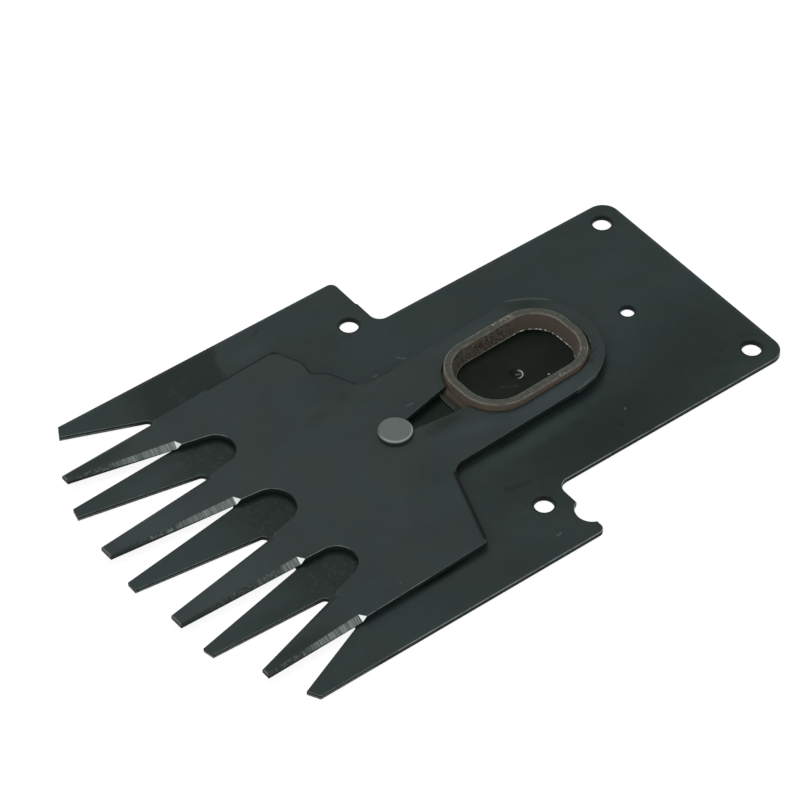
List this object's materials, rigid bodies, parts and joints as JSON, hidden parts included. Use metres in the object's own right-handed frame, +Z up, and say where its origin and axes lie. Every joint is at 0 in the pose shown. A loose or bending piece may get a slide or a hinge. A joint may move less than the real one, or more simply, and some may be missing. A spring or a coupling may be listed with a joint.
{
  "type": "hedge trimmer blade",
  "caption": "Flat toothed cutter plate with a smaller toothed blade that swings over it on a rivet, driven from side to side through an oval bush in its tail.",
  "frame": {"origin": "midway between the two rear fixing holes, on the underside of the fixed plate", "axes": "+X from the teeth towards the rear edge, +Z up from the plate to the moving blade, +Y across so that the three are right-handed"},
  "size_m": [0.1602, 0.1, 0.0055],
  "materials": {
    "blackened_steel": "black oxide, satin, lightly scuffed",
    "blackened_steel_ground": "black oxide, satin, with ground cutting bevels",
    "rivet_steel": "dull steel",
    "brown_plastic": "moulded brown plastic, worn on its rim"
  },
  "bodies": {
    "fixed": {"fixed_blade": "blackened_steel", "pivot_rivet": "rivet_steel", "spacer_washer": "rivet_steel"},
    "moving": {"moving_blade": "blackened_steel_ground", "drive_bush": "brown_plastic"}
  },
  "joints": [
    {"name": "blade_pivot", "type": "hinge", "parent": "fixed", "child": "moving", "pos_m": [-0.0825, 0, 0.0028], "axis": [0, 0, 1], "range_deg": [-10.6, 7.1]}
  ]
}
